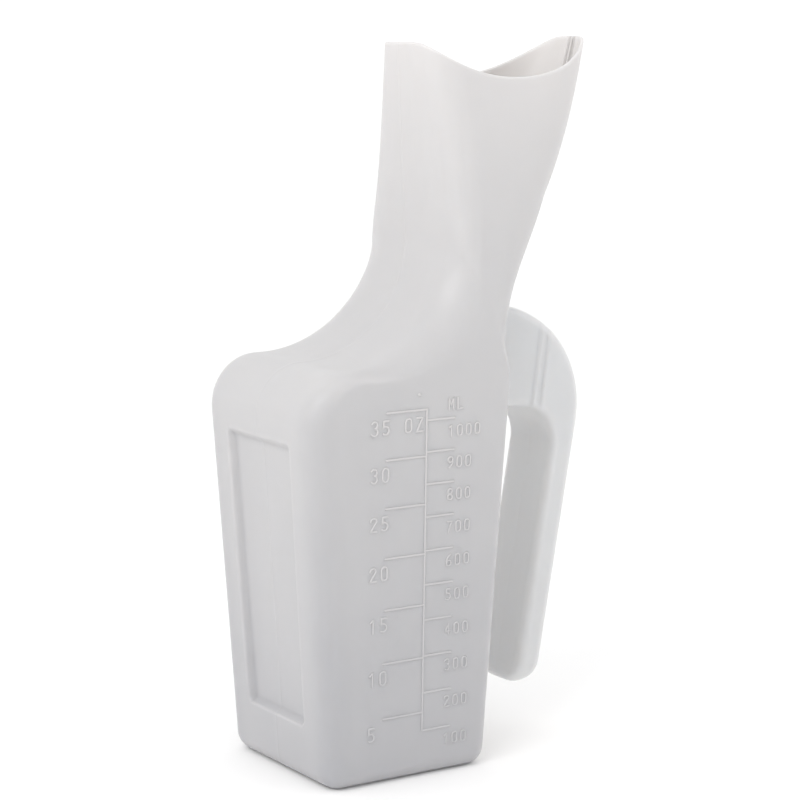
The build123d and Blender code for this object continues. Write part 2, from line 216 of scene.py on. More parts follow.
bottle = {
    "baseLength": 78.0,
    "baseDepth": 80.2,
    "leftDraft": 0.071,
    "rightDraft": 0.064,
    "faceDraft": 0.018,
    "cornerRadius": 8.4,
    "footRadius": 7.6,
    "straightHeight": 100.0,
    "shoulderHeight": 170.3,
    "shoulderRadius": 20.8,
    "neckBlendRadius": 49.5,
    "neckLeft": 25.0,
    "neckRightDrop": 3.8,
    "mouthLeft": 17.4,
    "mouthRight": 109.4,
    "mouthDepth": 40.7,
    "mouthDepthPace": 1.37,
    "mouthLean": 10.4,
    "earHeight": 299.1,
    "rightEarRise": 2.0,
    "rimSlope": 0.70,
    "dipRadius": 69.0,
    "dipOffset": 2.2,
    "earRound": 4.1,
    "earSetIn": 0.6,
    "earBackSlope": 1.2,
    "rimOverreach": 20.0,       # how far the rim's outline runs on past the ears
    "leftRoundness": 0.775,
    "rightRoundness": 0.95,
    "leftRoundPace": 1.71,
    "rightRoundStart": 0.8,
    "rightRoundAtWaist": 0.45,
    "rightRoundEnd": 0.94,
    "neckFlatness": 0.05,
    "neckLowPull": 0.36,
    "neckHighPull": 0.67,
    "railOverrun": 14.0,
    "railOverreach": 1.6,
    "waistShare": 0.02,
    "wall": 1.2,
}
panel = {
    "low": 24.0,
    "high": 142.0,
    "widthLow": 45.8,
    "widthHigh": 50.8,
    "depth": 3.0,
    "slope": 3.2,
    "corner": 3.0,
    "overrun": 0.2,             # the width goes on changing this far past its ends
    "mostOfSide": 0.93,
    "leastFlat": 0.25,
    "rowsBelow": 2.0,           # close rows start this far under its foot
    "rowsAbove": 1.5,
}
seam = {"width": 1.3, "height": 0.12, "mostOfSide": 0.3}
skinDetail = {
    "ridge": 3,
    "corner": 10,
    "slope": 6,
    "panelHalf": 8,
    "margin": 5,
    "face": 26,
    "right": 20,
    "underside": (0.04, 0.2, 0.4, 0.6, 0.8, 0.93),
    "foot": 8,
    "lowWall": 6,
    "panelFoot": 12,
    "wall": 30,
    "upperWall": 34,
    "fan": 56,
    "neck": 64,
    "neckFine": 160,
}

leftWallX = lambda z: -bottle["baseLength"] / 2 - bottle["leftDraft"] * z
rightWallX = lambda z: bottle["baseLength"] / 2 + bottle["rightDraft"] * z
railTop = bottle["earHeight"] + bottle["railOverrun"]
waistHeight = bottle["shoulderHeight"] - bottle["neckRightDrop"]


def halfDepth(height):
    if height <= bottle["shoulderHeight"]:
        return bottle["baseDepth"] / 2 + bottle["faceDraft"] * height
    share = (height - bottle["shoulderHeight"]) / (bottle["earHeight"] - bottle["shoulderHeight"])
    shoulderHalf = bottle["baseDepth"] / 2 + bottle["faceDraft"] * bottle["shoulderHeight"]
    return shoulderHalf - (shoulderHalf - bottle["mouthDepth"] / 2) * share ** bottle["mouthDepthPace"]


def roundedPath(corners, radii, steps=24):
    # dense points along a polyline whose inner corners are rounded by arcs
    points = [np.array(corners[0], float)]
    for before, corner, after, radius in zip(corners, corners[1:], corners[2:], radii):
        before, corner, after = (np.array(p, float) for p in (before, corner, after))
        inDir = (corner - before) / np.linalg.norm(corner - before)
        outDir = (after - corner) / np.linalg.norm(after - corner)
        turn = math.acos(float(np.clip(inDir @ outDir, -1, 1)))
        if radius <= 0:
            points.append(corner)
            continue
        reach = radius * math.tan(turn / 2)
        start = corner - inDir * reach
        side = outDir - inDir * float(inDir @ outDir)
        side /= np.linalg.norm(side)
        for step in range(steps + 1):
            angle = turn * step / steps
            points.append(start + inDir * radius * math.sin(angle) + side * radius * (1 - math.cos(angle)))
    points.append(np.array(corners[-1], float))
    return np.array(points)


def bezierPath(a, b, c, d, steps=80):
    a, b, c, d = (np.array(p, float) for p in (a, b, c, d))
    share = np.linspace(0, 1, steps + 1)[:, None]
    rest = 1 - share
    return a * rest ** 3 + 3 * b * share * rest ** 2 + 3 * c * share ** 2 * rest + d * share ** 3


class Rail:
    # a path in the XZ plane that can be read at any distance along it
    def __init__(self, points):
        self.points = points
        self.distance = np.concatenate([[0], np.cumsum(np.linalg.norm(np.diff(points, axis=0), axis=1))])
        self.length = float(self.distance[-1])

    def at(self, distance):
        return tuple(float(np.interp(distance, self.distance, self.points[:, axis])) for axis in (0, 1))

    def xAt(self, height):
        return float(np.interp(height, self.points[:, 1], self.points[:, 0]))


leftRail = Rail(roundedPath(
    [
        (leftWallX(0), 0),
        (leftWallX(bottle["shoulderHeight"]), bottle["shoulderHeight"]),
        (bottle["neckLeft"], bottle["shoulderHeight"]),
        (bottle["mouthLeft"], railTop),
    ],
    [bottle["shoulderRadius"], bottle["neckBlendRadius"]],
    steps=60,
))
neckRise = railTop - waistHeight
railEndX = bottle["mouthRight"] + bottle["railOverreach"]
lowPull = bottle["neckLowPull"] * neckRise
highPull = bottle["neckHighPull"] * neckRise
rightCurve = bezierPath(
    (rightWallX(waistHeight), waistHeight),
    (rightWallX(waistHeight + lowPull), waistHeight + lowPull),
    (railEndX - highPull * math.tan(math.radians(bottle["mouthLean"])), railTop - highPull),
    (railEndX, railTop),
)
rightRail = Rail(np.vstack([[(rightWallX(0), 0)], rightCurve]))
rightWallLength = waistHeight * math.hypot(1, bottle["rightDraft"])

leftStart = bottle["straightHeight"] * math.hypot(1, bottle["leftDraft"])
rightStart = bottle["straightHeight"] * math.hypot(1, bottle["rightDraft"])
leftTurn = float(leftRail.distance[1])
leftWaist = float(leftRail.distance[-2])
rightWaist = rightWallLength + bottle["waistShare"] * (rightRail.length - rightWallLength)
rightTurn = rightStart + (rightWaist - rightStart) * (leftTurn - leftStart) / (leftWaist - leftStart)


def cornerRadii(leftPoint, rightPoint, fanShare, neckShare):
    leftShare = smoothStep(fanShare ** bottle["leftRoundPace"])
    atWaist = bottle["rightRoundAtWaist"]
    roundStart = bottle["rightRoundStart"]
    rightShare = atWaist * smoothStep((fanShare - roundStart) / (1 - roundStart))
    rightShare += (1 - atWaist) * smoothStep(neckShare / bottle["rightRoundEnd"])
    half = math.dist(leftPoint, rightPoint) / 2
    limit = (1 - bottle["neckFlatness"]) * half
    leftRound = min(bottle["leftRoundness"] * halfDepth(leftPoint[1]), limit)
    rightRound = min(bottle["rightRoundness"] * halfDepth(rightPoint[1]), limit)
    corner = bottle["cornerRadius"]
    return mixValue(corner, leftRound, leftShare), mixValue(corner, rightRound, rightShare)


def panelHalfWidth(height):
    share = (height - panel["low"]) / (panel["high"] - panel["low"])
    share = min(max(share, -panel["overrun"]), 1 + panel["overrun"])
    return mixValue(panel["widthLow"], panel["widthHigh"], share) / 2


def roundedLoop(leftPoint, rightPoint, radii):
    # closed loop of the section through a point on each rail; starts at the middle of the left side
    half = math.dist(leftPoint, rightPoint) / 2
    middle = np.array([(leftPoint[0] + rightPoint[0]) / 2, 0, (leftPoint[1] + rightPoint[1]) / 2])
    across = np.array([rightPoint[0] - leftPoint[0], 0, rightPoint[1] - leftPoint[1]]) / (2 * half)
    leftHalf, rightHalf = halfDepth(leftPoint[1]), halfDepth(rightPoint[1])
    leftRadius, rightRadius = radii
    taper = math.atan2(rightHalf - leftHalf, 2 * half)      # the front side's slant in the section
    # corner arcs: the left corner turns 90 + taper, the right one 90 - taper
    detail = skinDetail
    flat = []
    # left side from the middle towards the front
    leftReach = leftRadius * math.tan((math.pi / 2 - taper) / 2)
    rightReach = rightRadius * math.tan((math.pi / 2 + taper) / 2)
    sideEnd = leftHalf - leftReach
    edge = min(panelHalfWidth(leftPoint[1]), sideEnd * panel["mostOfSide"])
    inner = max(edge - panel["slope"], panel["leastFlat"] * edge)
    ridge = min(seam["width"] / 2, inner * seam["mostOfSide"])
    flat += [(-half, -y) for y in spread(0, ridge, detail["ridge"])]
    flat += [(-half, -y) for y in spread(ridge, inner, detail["panelHalf"])]
    flat += [(-half, -y) for y in spread(inner, edge, detail["slope"])]
    flat += [(-half, -y) for y in spread(edge, sideEnd, detail["margin"])]
    # left front corner
    slant = np.array([math.cos(taper), -math.sin(taper)])
    centre = np.array([-half + leftRadius, -sideEnd])
    for angle in spread(0, math.pi / 2 - taper, detail["corner"]):
        flat.append((centre[0] - leftRadius * math.cos(angle), centre[1] - leftRadius * math.sin(angle)))
    start = np.array([-half, -leftHalf]) + slant * leftReach
    end = np.array([half, -rightHalf]) - slant * rightReach
    for share in spread(0, 1, detail["face"]):
        flat.append(tuple(start + (end - start) * share))
    centre = np.array([half - rightRadius, -(rightHalf - rightReach)])
    for angle in spread(0, math.pi / 2 + taper, detail["corner"]):
        turned = math.pi / 2 + taper - angle
        flat.append((centre[0] + rightRadius * math.cos(turned), centre[1] - rightRadius * math.sin(turned)))
    sideEnd = rightHalf - rightReach
    ridge = min(seam["width"] / 2, sideEnd * seam["mostOfSide"])
    flat += [(half, -y) for y in spread(sideEnd, ridge, detail["right"])]
    flat += [(half, -y) for y in spread(ridge, 0, detail["ridge"])]
    # the back half mirrors the front half
    mirror = [(half, 0.0)] + [(u, -v) for u, v in reversed(flat[1:])]
    loop = flat + mirror
    return [middle + across * u + np.array([0, v, 0]) for u, v in loop]


def panelDrop(y, height):
    # how far the left wall is set back at a place on it
    halfWidth = panelHalfWidth(height)
    middle = (panel["low"] + panel["high"]) / 2
    outY = abs(y) - (halfWidth - panel["corner"])
    outZ = abs(height - middle) - ((panel["high"] - panel["low"]) / 2 - panel["corner"])
    outside = math.hypot(max(outY, 0), max(outZ, 0)) + min(max(outY, outZ), 0) - panel["corner"]
    share = -outside / panel["slope"]
    return panel["depth"] * smoothStep(share)


def rimOutline():
    # the saddle rim seen from the side: two slopes that meet in a wide arc, with rounded ear tips
    middleX = (bottle["mouthLeft"] + bottle["mouthRight"]) / 2
    reach = (bottle["mouthRight"] - bottle["mouthLeft"]) / 2 - bottle["earSetIn"]
    slope = bottle["rimSlope"]
    rise = bottle["earRound"] * (math.hypot(1, slope) - 1) + bottle["earSetIn"] * slope
    left = (middleX - reach, bottle["earHeight"] + rise)
    right = (middleX + reach, bottle["earHeight"] + bottle["rightEarRise"] + rise)
    dipX = middleX - bottle["dipOffset"]
    apex = (dipX, left[1] - slope * (dipX - left[0]))
    away = bottle["rimOverreach"]
    drop = away * bottle["earBackSlope"]
    return roundedPath(
        [(left[0] - away, left[1] - drop), left, apex, right, (right[0] + away, right[1] - drop)],
        [bottle["earRound"], bottle["dipRadius"], bottle["earRound"]],
    )


rimPath = rimOutline()


def rimHeight(x):
    return float(np.interp(x, rimPath[:, 0], rimPath[:, 1]))


def wallHeights():
    # rows are close together at the foot of the side panel
    closeFrom = panel["low"] - panel["rowsBelow"]
    closeTo = panel["low"] + panel["slope"] + panel["rowsAbove"]
    rows = spread(bottle["footRadius"], closeFrom, skinDetail["lowWall"])
    rows += spread(closeFrom, closeTo, skinDetail["panelFoot"])
    rows += spread(closeTo, bottle["straightHeight"], skinDetail["wall"])
    return rows


def blownGrid():
    rows = []
    detail = skinDetail
    footRadius = bottle["footRadius"]

    def levelLoop(height, inset=0.0):
        left = (leftWallX(height), height)
        right = (rightWallX(height), height)
        loop = np.array(roundedLoop(left, right, (bottle["cornerRadius"], bottle["cornerRadius"])))
        if inset > 0:
            loop = loop - loopNormals(loop) * inset
        return loop

    # underside from its middle outwards, then the round foot
    flatLoop = levelLoop(0.0, footRadius)
    centre = flatLoop.mean(axis=0)
    for share in detail["underside"]:
        rows.append(centre + (flatLoop - centre) * share)
    for step in range(detail["foot"]):
        angle = math.pi / 2 * step / detail["foot"]
        loop = levelLoop(footRadius * (1 - math.cos(angle)), footRadius * (1 - math.sin(angle)))
        rows.append(loop)
    for height in wallHeights():
        rows.append(levelLoop(height))
    # from the level walls the sections begin to fan out
    stations = []
    for share in spread(0, 1, detail["upperWall"]):
        left = mixValue(leftStart, leftTurn, share)
        right = mixValue(rightStart, rightTurn, share)
        stations.append((left, right, 0.0, 0.0))
    for share in spread(0, 1, detail["fan"]):
        left = mixValue(leftTurn, leftWaist, share)
        right = mixValue(rightTurn, rightWaist, share)
        stations.append((left, right, share, 0.0))
    for left, right, fan, neck in stations:
        leftPoint, rightPoint = leftRail.at(left), rightRail.at(right)
        radii = cornerRadii(leftPoint, rightPoint, fan, neck)
        rows.append(np.array(roundedLoop(leftPoint, rightPoint, radii)))

    # neck: each column climbs from the waist to where it meets the rim
    def neckLoop(share):
        leftPoint = leftRail.at(mixValue(leftWaist, leftRail.length, share))
        rightPoint = rightRail.at(mixValue(rightWaist, rightRail.length, share))
        radii = cornerRadii(leftPoint, rightPoint, 1.0, share)
        return np.array(roundedLoop(leftPoint, rightPoint, radii))

    fineSteps = detail["neckFine"]
    fine = np.array([neckLoop(step / fineSteps) for step in range(fineSteps + 1)])
    ends = []
    for column in range(fine.shape[1]):
        over = [place[2] - rimHeight(place[0]) + lip["radius"] for place in fine[:, column]]
        row = next(index for index in range(fineSteps + 1) if over[index] >= 0)
        ends.append((row - 1 + over[row - 1] / (over[row - 1] - over[row])) / fineSteps)
    ends = np.array(ends)
    for step in range(detail["neck"] + 1):
        loop = []
        for column in range(fine.shape[1]):
            place = ends[column] * step / detail["neck"] * fineSteps
            low = min(int(place), fineSteps - 1)
            part = place - low
            loop.append(fine[low, column] * (1 - part) + fine[low + 1, column] * part)
        rows.append(np.array(loop))
    return np.array(rows)


def loopNormals(loop):
    around = np.roll(loop, -1, axis=0) - np.roll(loop, 1, axis=0)
    normals = np.cross(around, np.array([0, 0, 1.0]))
    return normals / np.linalg.norm(normals, axis=1, keepdims=True)


lip = {"radius": bottle["wall"] / 2, "steps": 4}
# painted light and shade on the bottle wall, as a share between the shaded and the lit colour
paintedLighting = {
    "foot": 0.16,               # share at the foot, darker towards the bottom
    "shoulder": 0.50,           # and at the shoulder
    "neck": 0.56,               # and in the neck
    "leftGain": 0.02,           # painted light: the left side and shoulder, lit by the key lamp, are lighter than the front
    "rightGain": 0.55,          # painted light: the hidden wall behind the handle is lightest, so that it throws light onto the handle
    # painted shade along the upright left corners
    "cornerLoss": 0.16,
    "cornerReach": 16.0,        # how far from an upright corner the painted shade reaches
    "cornerFade": (150.0, 30.0),    # the painted corner shade fades out from this height, over this much
    "leftPlace": (22.0, 22.0),      # the left gain starts this far left, and is full this much on
    "rightReach": 4.0,
    "rightFade": (120.0, 40.0),
    "neckStart": 165.0,
    "neckEnd": 235.0,
    "neckLead": 10.0,
}


def fadeOut(height, fade):
    return 1 - smoothStep((height - fade[0]) / fade[1])


# painted light and shade: lighter up the shoulder and neck and on the left side, lightest on the hidden wall
# behind the handle, painted shade along the left corners, and darker towards the foot
def bottlePaintedLight(x, y, z):
    climb = min(z / paintedLighting["neckStart"], 1.0)
    value = mixValue(paintedLighting["foot"], paintedLighting["shoulder"], climb)
    neckReach = paintedLighting["neckEnd"] - paintedLighting["neckStart"]
    neckShare = smoothStep((z - paintedLighting["neckStart"] + paintedLighting["neckLead"]) / neckReach)
    value = mixValue(value, paintedLighting["neck"], neckShare)
    leftFrom, leftOver = paintedLighting["leftPlace"]
    value += paintedLighting["leftGain"] * smoothStep((-x - leftFrom) / leftOver)
    reach = paintedLighting["rightReach"]
    onRight = smoothStep((x - rightWallX(z) + reach) / reach)
    value += paintedLighting["rightGain"] * onRight * fadeOut(z, paintedLighting["rightFade"])
    fromCorner = math.hypot(x - leftWallX(z), abs(y) - halfDepth(z))
    near = 1 - smoothStep(fromCorner / paintedLighting["cornerReach"])
    return value - paintedLighting["cornerLoss"] * near * fadeOut(z, paintedLighting["cornerFade"])


def pressPanel(grid):
    # sets the side panel back into the left wall
    result = grid.copy()
    columns = grid.shape[1]
    sideCount = sum(skinDetail[part] for part in ("ridge", "panelHalf", "slope", "margin"))
    for row in range(grid.shape[0]):
        for column in list(range(sideCount + 1)) + list(range(columns - sideCount, columns)):
            x, y, z = grid[row, column]
            drop = panelDrop(y, z) if x < 0 else 0.0
            if drop > 0:
                result[row, column] = result[row, column] + np.array([drop, 0, 0])
    return result


def raiseSeam(grid, fromRow):
    normals = gridNormals(grid)
    result = grid.copy()
    halfWidth = seam["width"] / 2
    for row in range(fromRow, grid.shape[0]):
        near = np.abs(grid[row, :, 1]) < halfWidth
        for column in np.nonzero(near)[0]:
            share = 1 - abs(grid[row, column, 1]) / halfWidth
            rise = seam["height"] * smoothStep(share)
            result[row, column] = result[row, column] + normals[row, column] * rise
    return result


def buildBottle():
    outer = pressPanel(blownGrid())
    inner = outer - gridNormals(outer) * bottle["wall"]
    outer = raiseSeam(outer, skinDetail["foot"])
    columns = outer.shape[1]
    # rounded lip between the outer and the inner wall
    lipRows = []
    for step in range(1, lip["steps"]):
        angle = math.pi * step / lip["steps"]
        middle = (outer[-1] + inner[-1]) / 2
        half = (outer[-1] - inner[-1]) / 2
        up = outer[-1] - outer[-2]
        up = up / np.linalg.norm(up, axis=1, keepdims=True)
        lipRows.append(middle + half * math.cos(angle) + up * lip["radius"] * math.sin(angle))
    grid = np.concatenate([outer, np.array(lipRows), inner[::-1]])
    total = grid.shape[0]
    points = grid.reshape(-1, 3).tolist()
    faces = gridFaces(total, columns)
    faces.append(tuple(range(columns))[::-1])
    last = (total - 1) * columns
    faces.append(tuple(range(last, last + columns)))
    return makeMesh("bottleSkin", points, faces, milkyPlastic, bottlePaintedLight)


bottleSkin = buildBottle()
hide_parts("reservoir", "shoulder_neck", "mouth_funnel", "parting_seam")
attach(bottleSkin, "root")
print("bottle skin blown,", len(bottleSkin.data.polygons), "faces")

# hook handle: a hollow arm that leaves the neck and hangs beside the reservoir

handle = {
    "width": 33.4,
    "thickness": 12.2,
    "rootHeight": 46.0,
    "topRise": 21.3,            # top of the root above the shoulder
    "gap": 42.4,
    "armLean": 0.172,
    "topSlope": 0.2,
    "tipHeight": 22.6,
    "outerRadius": 45.0,
    "gapRadius": 17.0,
    "edgeRadius": 4.4,
    "tipRadius": 5.6,
    "tipSideRadius": 12.0,      # round of the tip seen along X
    "rootFlare": 2.4,           # round where the handle grows out of the wall
    "webDrop": 0.8,             # the web beside the arm is set back in two steps of this
    "webStep": 1.6,             # how wide each step is
    "webSteps": (0.0, 4.2),     # where they are, from the web's edge
    "webEdge": (77.3, 150.3),
    "webLean": 0.133,
    "webLow": 141.0,            # the steps fade out above this height
    "webFade": 8.0,
    "rootPace": 1.6,            # rows stand closer together near the root
    "ridgeShare": 0.4,
    "leastFlat": 0.05,
}
handleDetail = {
    "ridge": 3,
    "side": 6,
    "corner": 8,
    "face": 22,
    "root": 16,
    "bend": 54,
    "arm": 46,
    "tip": 14,
    "arc": 80,
    "tipWall": 3,               # rows that the cavity stops short of the tip
    "seamFrom": 6,
}
# painted light on the handle, as a share between the shaded and the lit colour
handlePaintedLighting = {
    "inner": 1.0,
    "edge": 0.72,
    "edgeFrom": 11.0,
    "edgeOver": 5.0,
    "footLoss": 0.06,
    "footReach": 190.0,
}


def handleRails():
    top = bottle["shoulderHeight"] + handle["topRise"]
    ceiling = top - handle["rootHeight"]
    gapTopX = rightWallX(ceiling) + handle["gap"]
    innerX = lambda z: gapTopX + handle["armLean"] * (z - ceiling)
    outerX = lambda z: innerX(z) + handle["thickness"]
    rootX = rightWallX(top)
    topSlope = handle["topSlope"]
    cornerZ = (top - topSlope * (outerX(0) - rootX)) / (1 + topSlope * handle["armLean"])
    tip = handle["tipHeight"]
    startX = rightRail.xAt(top) - bottle["wall"] / 2
    startZ = top + topSlope * (rootX - startX)
    ceilingX = rightRail.xAt(ceiling) - bottle["wall"] / 2
    outer = Rail(roundedPath([(startX, startZ), (outerX(cornerZ), cornerZ), (outerX(tip), tip)],
                             [handle["outerRadius"]], steps=handleDetail["arc"]))
    inner = Rail(roundedPath([(ceilingX, ceiling), (gapTopX, ceiling), (innerX(tip), tip)],
                             [handle["gapRadius"]], steps=handleDetail["arc"]))
    return outer, inner


def handleStations(outer, inner):
    # distances along both rails: the root, then the bend, then the arm down to its tip
    def breaks(rail):
        return [0.0, float(rail.distance[1]), float(rail.distance[-2]), rail.length]

    outerBreaks, innerBreaks = breaks(outer), breaks(inner)
    detail = handleDetail
    shares = [share ** handle["rootPace"] for share in spread(0, 1, detail["root"])]
    rows = [(share * outerBreaks[1], share * innerBreaks[1]) for share in shares]
    for share in spread(0, 1, detail["bend"]):
        rows.append((mixValue(outerBreaks[1], outerBreaks[2], share),
                     mixValue(innerBreaks[1], innerBreaks[2], share)))
    reach = handle["tipSideRadius"]
    for share in spread(0, 1, detail["arm"]):
        rows.append((mixValue(outerBreaks[2], outerBreaks[3] - reach, share),
                     mixValue(innerBreaks[2], innerBreaks[3] - reach, share)))
    for step in range(detail["tip"] + 1):
        part = math.sin(math.pi / 2 * step / detail["tip"])
        fallen = reach * (1 - part)
        rows.append((outerBreaks[3] - fallen, innerBreaks[3] - fallen))
    return rows


def webSetBack(x, z):
    edge = handle["webEdge"][0] + handle["webLean"] * (z - handle["webEdge"][1])
    back = 0.0
    for place in handle["webSteps"]:
        back += handle["webDrop"] * (1 - smoothStep((x - edge - place) / handle["webStep"]))
    return back * smoothStep((z - handle["webLow"]) / handle["webFade"])


def roundInset(radius, left):
    # how far a round of this radius has come in, this far before its end
    if left >= radius:
        return 0.0
    return radius - math.sqrt(max(radius ** 2 - (radius - left) ** 2, 0.0))


def handleLoop(outerPoint, innerPoint, fromRoot, toTip):
    outerPoint, innerPoint = np.array(outerPoint), np.array(innerPoint)
    half = np.linalg.norm(outerPoint - innerPoint) / 2
    middle = (outerPoint + innerPoint) / 2
    across = (outerPoint - innerPoint) / (2 * half)
    halfWidth = handle["width"] / 2 - roundInset(handle["tipSideRadius"], toTip)
    half -= roundInset(handle["tipRadius"], toTip)
    flare = roundInset(handle["rootFlare"], fromRoot)
    halfWidth += flare
    half += flare
    leastFlat = handle["leastFlat"]
    radius = min(handle["edgeRadius"] + flare, half - leastFlat, halfWidth - leastFlat)
    faceEdge = halfWidth - radius
    detail = handleDetail
    flat = []
    ridge = min(seam["width"] / 2, faceEdge * handle["ridgeShare"])
    flat += [(half, -y) for y in spread(0, ridge, detail["ridge"])]
    flat += [(half, -y) for y in spread(ridge, faceEdge, detail["side"])]
    for angle in spread(0, math.pi / 2, detail["corner"]):
        flat.append((half - radius + radius * math.cos(angle), -faceEdge - radius * math.sin(angle)))
    flat += [(u, -halfWidth) for u in spread(half - radius, -half + radius, detail["face"])]
    for angle in spread(math.pi / 2, 0, detail["corner"]):
        flat.append((-half + radius - radius * math.cos(angle), -faceEdge - radius * math.sin(angle)))
    flat += [(-half, -y) for y in spread(faceEdge, ridge, detail["side"])]
    flat += [(-half, -y) for y in spread(ridge, 0, detail["ridge"])]
    loop = flat + [(-half, 0.0)] + [(u, -y) for u, y in reversed(flat[1:])]
    points = []
    for u, y in loop:
        x, z = middle + across * u
        if abs(y) > 0.01:
            back = webSetBack(x, z) * smoothStep(abs(y) / halfWidth)
            y = math.copysign(max(abs(y) - back, 0), y)
        points.append((x, y, z))
    return points


def handlePaintedLight(x, y, z):
    # painted light: the handle's inner and outer sides are lit as if through the wall, its front and back
    # faces a little darker, and it is darker towards its foot
    clear = handlePaintedLighting
    edgeShare = smoothStep((abs(y) - clear["edgeFrom"]) / clear["edgeOver"])
    lowShare = 1 - smoothStep(z / clear["footReach"])
    return mixValue(clear["inner"], clear["edge"], edgeShare) - clear["footLoss"] * lowShare


def buildHandle():
    outerRail, innerRail = handleRails()
    grid = []
    for outerDistance, innerDistance in handleStations(outerRail, innerRail):
        fromRoot = min(outerDistance, innerDistance) - bottle["wall"] / 2
        toTip = outerRail.length - outerDistance
        outerPoint, innerPoint = outerRail.at(outerDistance), innerRail.at(innerDistance)
        grid.append(handleLoop(outerPoint, innerPoint, max(fromRoot, 0), toTip))
    outer = np.array(grid)
    tipRow = outer.shape[0] - 1
    columns = outer.shape[1]
    inner = outer - gridNormals(outer) * bottle["wall"]
    # the cavity ends a little above the tip
    inner = inner[:tipRow - handleDetail["tipWall"]]
    outer = raiseSeam(outer, handleDetail["seamFrom"])
    points = np.concatenate([outer, inner[::-1]]).reshape(-1, 3).tolist()
    outerRows, innerRows = outer.shape[0], inner.shape[0]
    faces = gridFaces(outerRows, columns, flip=True)
    faces += gridFaces(innerRows, columns, first=outerRows * columns, flip=True)
    faces.append(tuple(range((outerRows - 1) * columns, outerRows * columns))[::-1])
    faces.append(tuple(range(outerRows * columns, (outerRows + 1) * columns)))
    lastRow = (outerRows + innerRows - 1) * columns
    for column in range(columns):
        after = (column + 1) % columns
        faces.append((lastRow + column, column, after, lastRow + after)[::-1])
    return makeMesh("handleSkin", points, faces, handlePlastic, handlePaintedLight)


handleSkin = buildHandle()
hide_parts("hook_handle")
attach(handleSkin, "root")
print("handle blown,", len(handleSkin.data.polygons), "faces")

# raised scale on the front face

scale = {
    "relief": 0.28,
    "lineWidth": 1.0,
    "lineX": 4.9,
    "fullDrop": 20.9,           # the 1000 mL line is this far below the shoulder
    "zeroHeight": 3.5,
    "ounceLine": 18.6,
    "millilitreLine": 13.0,
    "ounceTextHeight": 6.5,
    "millilitreTextHeight": 5.3,
    "textDrop": 2.6,
    "ounceTextReach": 7.5,
    "millilitreTextReach": 9.8,
    "unitRise": 4.0,
    "glyphShare": 0.58,
    "glyphGapShare": 0.24,
    "strokeShare": 0.16,
    "millilitrePerOunce": 29.5735,
    "pipWidth": 1.62,
    "pipHalfLength": 0.05,
    "pipRise": 6.3,
    "pipOffset": 3.8,
}
sunk = 0.25                     # underside of a mark, below the face that it stands on
crown = [(-1.0, -0.05), (-0.82, 0.22), (-0.6, 0.72), (-0.3, 0.96), (0.0, 1.0),
         (0.3, 0.96), (0.6, 0.72), (0.82, 0.22), (1.0, -0.05)]


def markHeight(share):
    # the reservoir widens upwards, so equal volumes stand closer together near the top
    widening = (bottle["leftDraft"] + bottle["rightDraft"]) / bottle["baseLength"]
    widening += 2 * bottle["faceDraft"] / bottle["baseDepth"]
    fullRise = bottle["shoulderHeight"] - scale["fullDrop"] - scale["zeroHeight"]
    full = fullRise + widening * fullRise ** 2 / 2
    return scale["zeroHeight"] + (math.sqrt(1 + 2 * widening * share * full) - 1) / widening


def onFace(x, height, lift=0.0):
    lean = math.hypot(1, bottle["faceDraft"])
    outwards = (0, -1 / lean, -bottle["faceDraft"] / lean)
    return (x, -halfDepth(height) + outwards[1] * lift, height + outwards[2] * lift)


def arcPoints(start, middle, end, steps=14):
    # points along the circle through three points
    (ax, ay), (bx, by), (cx, cy) = start, middle, end
    d = 2 * (ax * (by - cy) + bx * (cy - ay) + cx * (ay - by))
    a2, b2, c2 = ax * ax + ay * ay, bx * bx + by * by, cx * cx + cy * cy
    ux = (a2 * (by - cy) + b2 * (cy - ay) + c2 * (ay - by)) / d
    uy = (a2 * (cx - bx) + b2 * (ax - cx) + c2 * (bx - ax)) / d
    radius = math.hypot(ax - ux, ay - uy)
    first = math.atan2(ay - uy, ax - ux)
    last = math.atan2(cy - uy, cx - ux)
    through = math.atan2(by - uy, bx - ux)
    sweep = (last - first) % (2 * math.pi)
    if (through - first) % (2 * math.pi) > sweep:
        sweep -= 2 * math.pi
    return [(ux + radius * math.cos(first + sweep * step / steps),
             uy + radius * math.sin(first + sweep * step / steps)) for step in range(steps + 1)]


def ringPoints(centreX, centreY, radius, steps=24):
    return [(centreX + radius * math.cos(2 * math.pi * step / steps),
             centreY + radius * math.sin(2 * math.pi * step / steps)) for step in range(steps + 1)]


